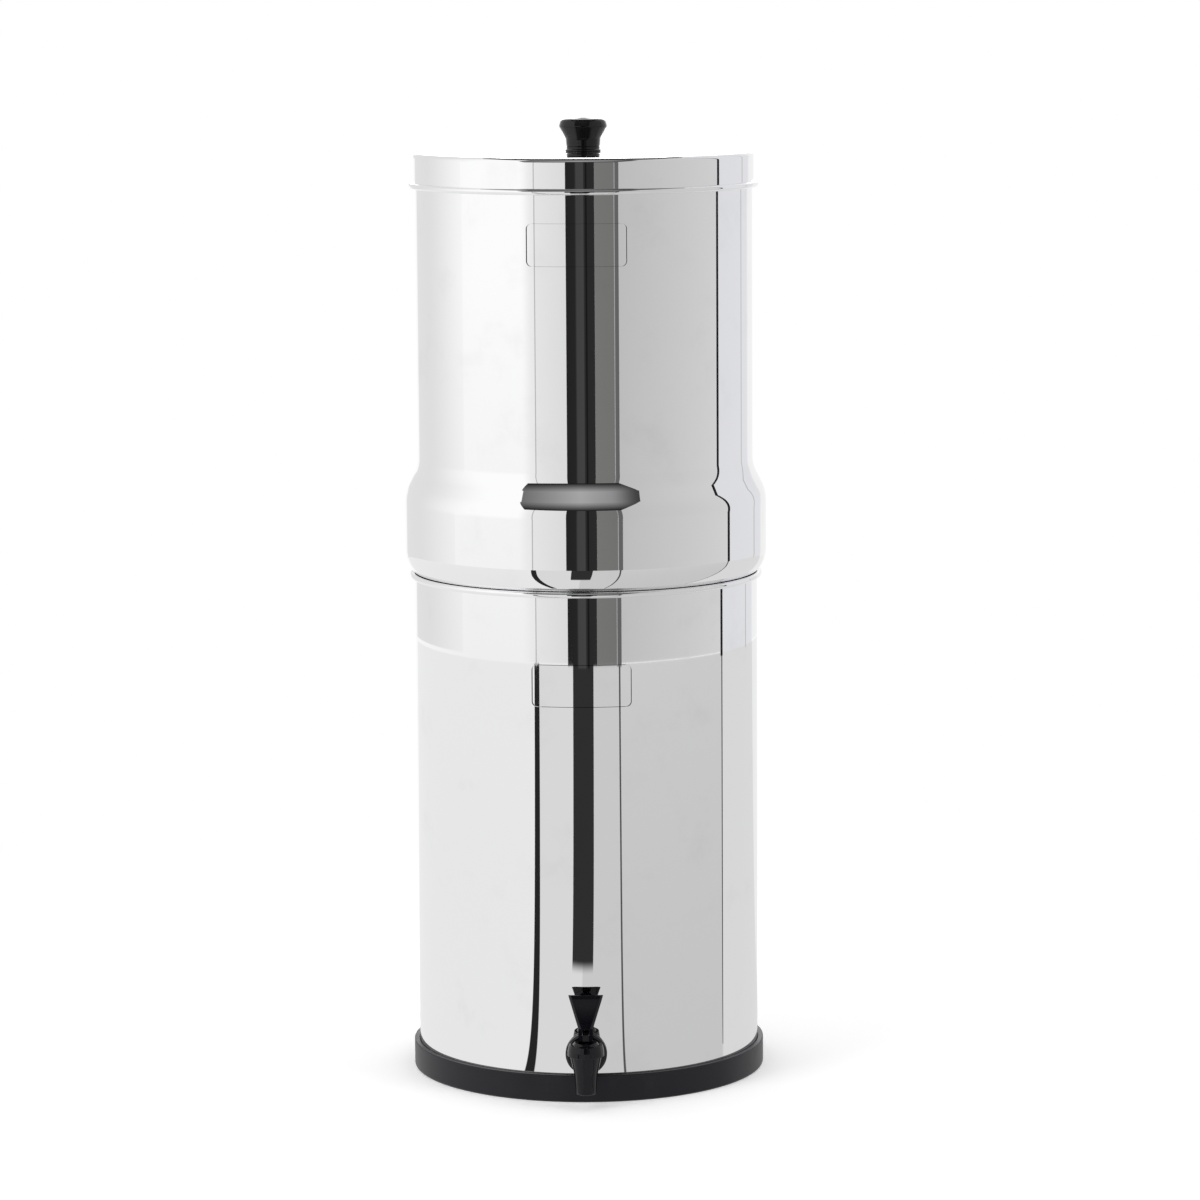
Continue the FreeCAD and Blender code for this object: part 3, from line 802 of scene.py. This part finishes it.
def placeCamera():
    data = bpy.data.cameras.new("photo_camera")
    data.lens = view["lens"]
    data.sensor_width = 36
    data.clip_end = view["farthest"]
    camera = addObject("photo_camera", data)
    turn = Matrix.Rotation(view["orbit"] - view["aside"], 4, "Z")
    tilt = Matrix.Rotation(math.pi / 2 - view["down"], 4, "X")
    roll = Matrix.Rotation(view["roll"], 4, "Z")
    spot = Vector((view["distance"] * math.sin(view["orbit"]),
                   -view["distance"] * math.cos(view["orbit"]), view["height"]))
    camera.matrix_world = Matrix.Translation(spot) @ turn @ tilt @ roll
    scene.camera = camera


placeCamera()

studio = {
    "floorSize": 30.0,
    "worldGlow": 0.45,
    "reflectedGlow": 0.80,
    "floorColour": 0.82,
    "floorLift": 0.30,
    "floorFade": (0.5, 1.1),
    "cardAway": 2.39,
    "cardHigh": 4.0,
    "cardSteps": 24,
    "footHigh": 0.5,
    "hardEdge": 1e-4,
    "lampAim": 0.35,
}

# Cards that only mirrors see, upright on circles about the axis. "from" and "to" are bearings in
# degrees, zero at the camera and positive to the right; "levels" are the brightness at each, and
# "foot" is what it is multiplied by at the ground. A soft edge's width is in degrees too.
cards = {
    "left_edge": {"from": -160, "to": -88, "levels": (0.80, 0.80), "softFrom": 5, "away": 2.43},
    "left_box": {"from": -132, "to": -33, "levels": (1.08, 1.08), "softFrom": 62, "softTo": 9, "foot": 0.885},
    "left_gap": {"from": -42, "to": -31.5, "levels": (0.92, 0.90), "away": 2.40},
    "gap_line": {"from": -32.2, "to": -31.5, "levels": (0.50, 0.50), "away": 2.37},
    "front_gap": {"from": -31.5, "to": -10.5, "levels": (0.86, 0.78), "away": 2.40},
    "dark_stand": {"from": -11.0, "to": 7.75, "levels": (0.018, 0.026), "away": 2.38},
    "stand_pole": {"from": -5.2, "to": 1.3, "levels": (0.058, 0.062), "softFrom": 1.5, "softTo": 1,
                   "away": 2.36},
    "stand_line": {"from": 1.9, "to": 2.9, "levels": (0.010, 0.010), "away": 2.36},
    "grey_board": {"from": 7.75, "to": 20.6, "levels": (0.195, 0.185), "tint": (1, 1, 0.96), "away": 2.38},
    "board_edge": {"from": 20.2, "to": 23.6, "levels": (0.145, 0.13), "softFrom": 1, "away": 2.37},
    "right_wall": {"from": 23.6, "to": 101, "levels": (0.555, 0.69), "away": 2.40, "foot": 1.02},
    "wall_joint": {"from": 100.3, "to": 102.6, "levels": (0.015, 0.015), "away": 2.36},
    "far_wall": {"from": 102, "to": 150, "levels": (0.80, 0.82), "softTo": 5, "tint": (0.985, 0.99, 1.02)},
    "far_line": {"from": 133.0, "to": 134.5, "levels": (0.55, 0.55), "away": 2.37},
    "right_edge": {"from": 146, "to": 184, "levels": (0.93, 0.93), "softFrom": 4, "softTo": 10, "away": 2.41},
    "lid_backdrop": {"from": 166, "to": 194, "levels": (1.14, 1.14), "low": 0.79, "high": 0.90, "away": 2.35},
    "knob_light": {"from": 164, "to": 196, "levels": (4.5, 4.5), "low": 0.93, "high": 2.1, "away": 2.34,
                   "softFrom": 4, "softTo": 4},
}

# Dark gap above the walls: paler higher up and towards the middle, its end on the right a point
hood = {
    "from": -38.5, "to": 23.6, "leftTip": -47.5, "leftLow": 2.35, "rightTip": 43.5, "rightLow": 2.65,
    "low": 1.36, "high": 4.5, "away": 2.30, "lowLevel": 0.004, "level": 0.43, "brightAt": 2.9,
    "middle": -0.05, "sideFall": 0.6, "rightFrom": 0.35, "rightTo": 0.75, "rightFall": 0.7,
}

# White sheets on the ground, parted by straight lines that start at the object. Each line runs
# from near to far, both (x, y); "width" is its half width per metre of the way, on top of "least".
# It starts that far along, over the length "fade".
sheetLines = {
    "left_joint": {"near": (-0.1467, -0.2686), "far": (-1.017, -1.668), "width": 0.0272, "least": 0.0120,
                   "start": -0.12, "level": 0.02},
    "slot": {"near": (-0.0275, -0.583), "far": (-0.0508, -2.334), "width": 0.1175, "least": 0.0632,
             "fade": 0.06, "level": 0.03},
    "right_joint": {"near": (0.085, -0.2537), "far": (0.7373, -1.8123), "width": 0.0088, "least": 0.0030,
                    "start": -0.10, "level": 0.08},
    "far_joint": {"near": (0.2400, -0.0500), "far": (1.8224, 0.3541), "width": 0.010, "level": 0.06},
}
sheetLevels = {"left": 0.876, "leftRise": 0.008, "leftFront": 0.755, "rightFront": 0.635, "right": 0.600,
               "rightRise": 0.022, "far": 0.75}
sheetEdges = {"least": 0.0015, "fade": 0.001, "step": 0.004, "inside": -0.0005, "outside": 0.0015,
              "height": 0.4 * mm, "steps": 96}


def glossyOnly(piece):
    piece.visible_camera = False
    piece.visible_diffuse = False
    piece.visible_shadow = False
    piece.visible_transmission = False
    piece.visible_volume_scatter = False


def reflectedOnly(name, bm, shader, material, strength, mask=1.0, tint=(1, 1, 1)):
    # turns a bmesh into a glowing card that only mirrors see, clear where the mask is 0
    glow = shader.add("Emission", None, {"Color": tint + (1,), "Strength": strength})
    clear = shader.add("BsdfTransparent")
    mix = shader.add("MixShader", None, {"Fac": mask, 1: clear.outputs[0], 2: glow.outputs[0]})
    shader.add("OutputMaterial", None, {"Surface": mix.outputs[0]})
    mesh = meshFrom(name, bm)
    mesh.materials.append(material)
    piece = addObject(name, mesh)
    glossyOnly(piece)


def uprightArc(start, end, away, low, high):
    # an upright edge turned about the axis from one bearing to another
    bm = bmesh.new()
    outward = Vector((math.sin(start), -math.cos(start), 0)) * away
    bm.edges.new([bm.verts.new(outward + up * height) for height in (low, high)])
    bmesh.ops.spin(bm, geom=bm.verts[:] + bm.edges[:], cent=(0, 0, 0), axis=up, angle=end - start,
                   steps=studio["cardSteps"])
    return bm


def bearingLevel(shader, middle):
    # bearing about the axis, measured from the middle of the card so that it never wraps
    across, along, height = shader.coordinates()
    right = across * math.cos(middle) + along * math.sin(middle)
    ahead = across * math.sin(middle) - along * math.cos(middle)
    return right.combine("ARCTAN2", right, ahead), height


def makeCard(name, card):
    start = math.radians(card["from"])
    end = math.radians(card["to"])
    half = (end - start) / 2
    material, shader = newMaterial(name)
    turn, height = bearingLevel(shader, start + half)
    softFrom = math.radians(card.get("softFrom", 0)) or studio["hardEdge"]
    softTo = math.radians(card.get("softTo", 0)) or studio["hardEdge"]
    mask = shader.eased(turn, -half, softFrom - half) * (1.0 - shader.eased(turn, half - softTo, half))
    strength = shader.level("MapRange", None, {"Value": turn, "From Min": -half, "From Max": half,
                                               "To Min": card["levels"][0], "To Max": card["levels"][1]})
    if "foot" in card:
        strength = strength * shader.level("MapRange", None, {"Value": height, "From Max": studio["footHigh"],
                                                              "To Min": card["foot"]})
    bm = uprightArc(start, end, card.get("away", studio["cardAway"]), card.get("low", 0.0),
                    card.get("high", studio["cardHigh"]))
    reflectedOnly(name, bm, shader, material, strength, mask, card.get("tint", (1, 1, 1)))


def makeHood():
    start = math.radians(hood["from"])
    end = math.radians(hood["to"])
    material, shader = newMaterial("hood")
    turn, height = bearingLevel(shader, 0.0)
    climb = shader.level("MapRange", None, {"Value": height, "From Min": hood["low"],
                                            "From Max": hood["brightAt"], "To Min": hood["lowLevel"],
                                            "To Max": hood["level"]})
    strength = climb * (1.0 - (turn - hood["middle"]).size() * hood["sideFall"]) * (
        1.0 - shader.eased(turn, hood["rightFrom"], hood["rightTo"]) * hood["rightFall"])
    bm = uprightArc(start, end, hood["away"], hood["low"], hood["high"])
    for edge, tip, tipLow in ((start, math.radians(hood["leftTip"]), hood["leftLow"]),
                              (end, math.radians(hood["rightTip"]), hood["rightLow"])):
        point = uprightArc(edge, tip, hood["away"], hood["low"], hood["high"])
        for vert in point.verts:
            if vert.co.z < hood["high"] - mm:
                share = (math.atan2(vert.co.x, -vert.co.y) - edge) / (tip - edge)
                vert.co.z = hood["low"] + share * (tipLow - hood["low"])
        addTo(bm, point)
    reflectedOnly("hood", bm, shader, material, strength)


def makeSheets():
    # a disc on the ground whose glow steps at the lines and goes dark along them
    material, shader = newMaterial("ground_sheets")
    across, along = shader.coordinates()[:2]
    edge = sheetEdges
    sides = {}
    masks = {}
    for name, line in sheetLines.items():
        near = Vector(line["near"])
        heading = (Vector(line["far"]) - near).normalized()
        x = across - near.x
        y = along - near.y
        ahead = x * heading.x + y * heading.y
        aside = y * heading.x - x * heading.y
        sides[name] = shader.eased(aside, -edge["step"], edge["step"])
        halfWidth = ahead * line["width"] + line.get("least", edge["least"])
        start = line.get("start", 0.0)
        masks[name] = (shader.eased(halfWidth - aside.size(), edge["inside"], edge["outside"])
                       * shader.eased(ahead, start, start + line.get("fade", edge["fade"])))
    tone = sheetLevels
    away = (across * across + along * along).power(0.5)
    left = tone["left"] + away * tone["leftRise"]
    right = tone["right"] + away * tone["rightRise"]
    strength = (left + sides["left_joint"] * (tone["leftFront"] - left)
                + sides["slot"] * (tone["rightFront"] - tone["leftFront"])
                + sides["right_joint"] * (right - tone["rightFront"])
                + sides["right_joint"] * sides["far_joint"] * (tone["far"] - right))
    for name, mask in masks.items():
        strength = strength * (1.0 - mask) + mask * sheetLines[name]["level"]
    bm = bmesh.new()
    bmesh.ops.create_circle(bm, cap_ends=True, segments=edge["steps"], radius=studio["cardAway"])
    bmesh.ops.translate(bm, verts=bm.verts[:], vec=(0, 0, edge["height"]))
    reflectedOnly("ground_sheets", bm, shader, material, strength)


overhead = {
    "ceiling": {"wide": 4.8, "deep": 4.8, "centre": (0, 0.1, 4.3), "level": 0.08},
    "top_box": {"wide": 1.8, "deep": 1.6, "centre": (0, 2.1, 3.4), "level": 4.0},
}


def makeOverhead(name, card):
    material, shader = newMaterial(name)
    bm = bmesh.new()
    bmesh.ops.create_grid(bm, x_segments=1, y_segments=1, size=0.5)
    bmesh.ops.scale(bm, verts=bm.verts[:], vec=(card["wide"], card["deep"], 1))
    bmesh.ops.translate(bm, verts=bm.verts[:], vec=card["centre"])
    reflectedOnly(name, bm, shader, material, card["level"])


def rayLevel(shader, *kinds):
    # 1 for rays of these kinds and 0 for others
    path = shader.add("LightPath")
    found = [Level(shader.tree, path.outputs["Is " + kind + " Ray"]) for kind in kinds]
    total = found[0]
    for level in found[1:]:
        total = total.largest(level)
    return total


def makeFloor():
    # pale paper that keeps its shadow near the object and fades to white farther out
    bm = bmesh.new()
    bmesh.ops.create_grid(bm, x_segments=1, y_segments=1, size=studio["floorSize"])
    mesh = meshFrom("floor", bm)
    material, shader = newMaterial("floor_paper")
    seen = rayLevel(shader, "Camera", "Glossy", "Transmission")
    paper = shader.add("BsdfDiffuse", None, {"Color": (studio["floorColour"],) * 3 + (1,)})
    lift = shader.add("Emission", None, {"Strength": seen * studio["floorLift"]})
    both = shader.add("AddShader", None, {0: paper.outputs[0], 1: lift.outputs[0]})
    coords = shader.add("TexCoord").outputs["Object"]
    away = shader.level("VectorMath", {"operation": "LENGTH"}, {0: coords}, 1)
    glow = shader.add("Emission", None, {"Strength": 1.0})
    fade = shader.add("MixShader", None, {"Fac": shader.eased(away, *studio["floorFade"]) * seen,
                                          1: both.outputs[0], 2: glow.outputs[0]})
    shader.add("OutputMaterial", None, {"Surface": fade.outputs[0]})
    mesh.materials.append(material)
    addObject("floor", mesh)


def makeWorld():
    # white behind the object, dimmer in reflections and in the light it gives
    world = bpy.data.worlds.new("studio")
    scene.world = world
    shader = Shader(world)
    camera = rayLevel(shader, "Camera")
    mirrored = rayLevel(shader, "Glossy", "Transmission")
    plain = 1.0 - camera.largest(mirrored)
    strength = camera + mirrored * studio["reflectedGlow"] + plain * studio["worldGlow"]
    glow = shader.add("Background", None, {"Color": (1, 1, 1, 1), "Strength": strength})
    shader.add("OutputWorld", None, {"Surface": glow.outputs[0]})


lamps = {
    "left_lamp": {"place": (-2.2, -1.8, 2.4), "size": 1.8, "power": 36},
    "right_lamp": {"place": (2.4, -1.2, 2.2), "size": 1.6, "power": 22},
    "top_lamp": {"place": (0.0, 0.3, 3.0), "size": 2.2, "power": 30},
}


def makeLamp(name, lamp):
    data = bpy.data.lights.new(name, "AREA")
    data.shape = "DISK"
    data.size = lamp["size"]
    data.energy = lamp["power"]
    piece = addObject(name, data)
    piece.location = lamp["place"]
    aim = Vector((0, 0, studio["lampAim"])) - piece.location
    piece.rotation_euler = aim.to_track_quat("-Z", "Y").to_euler()
    piece.visible_glossy = False


for cardName, card in cards.items():
    makeCard("card_" + cardName, card)
makeHood()
makeSheets()
for cardName, card in overhead.items():
    makeOverhead(cardName, card)
for lampName, lamp in lamps.items():
    makeLamp(lampName, lamp)
makeFloor()
makeWorld()
scene.view_settings.view_transform = "Standard"
print("studio made")
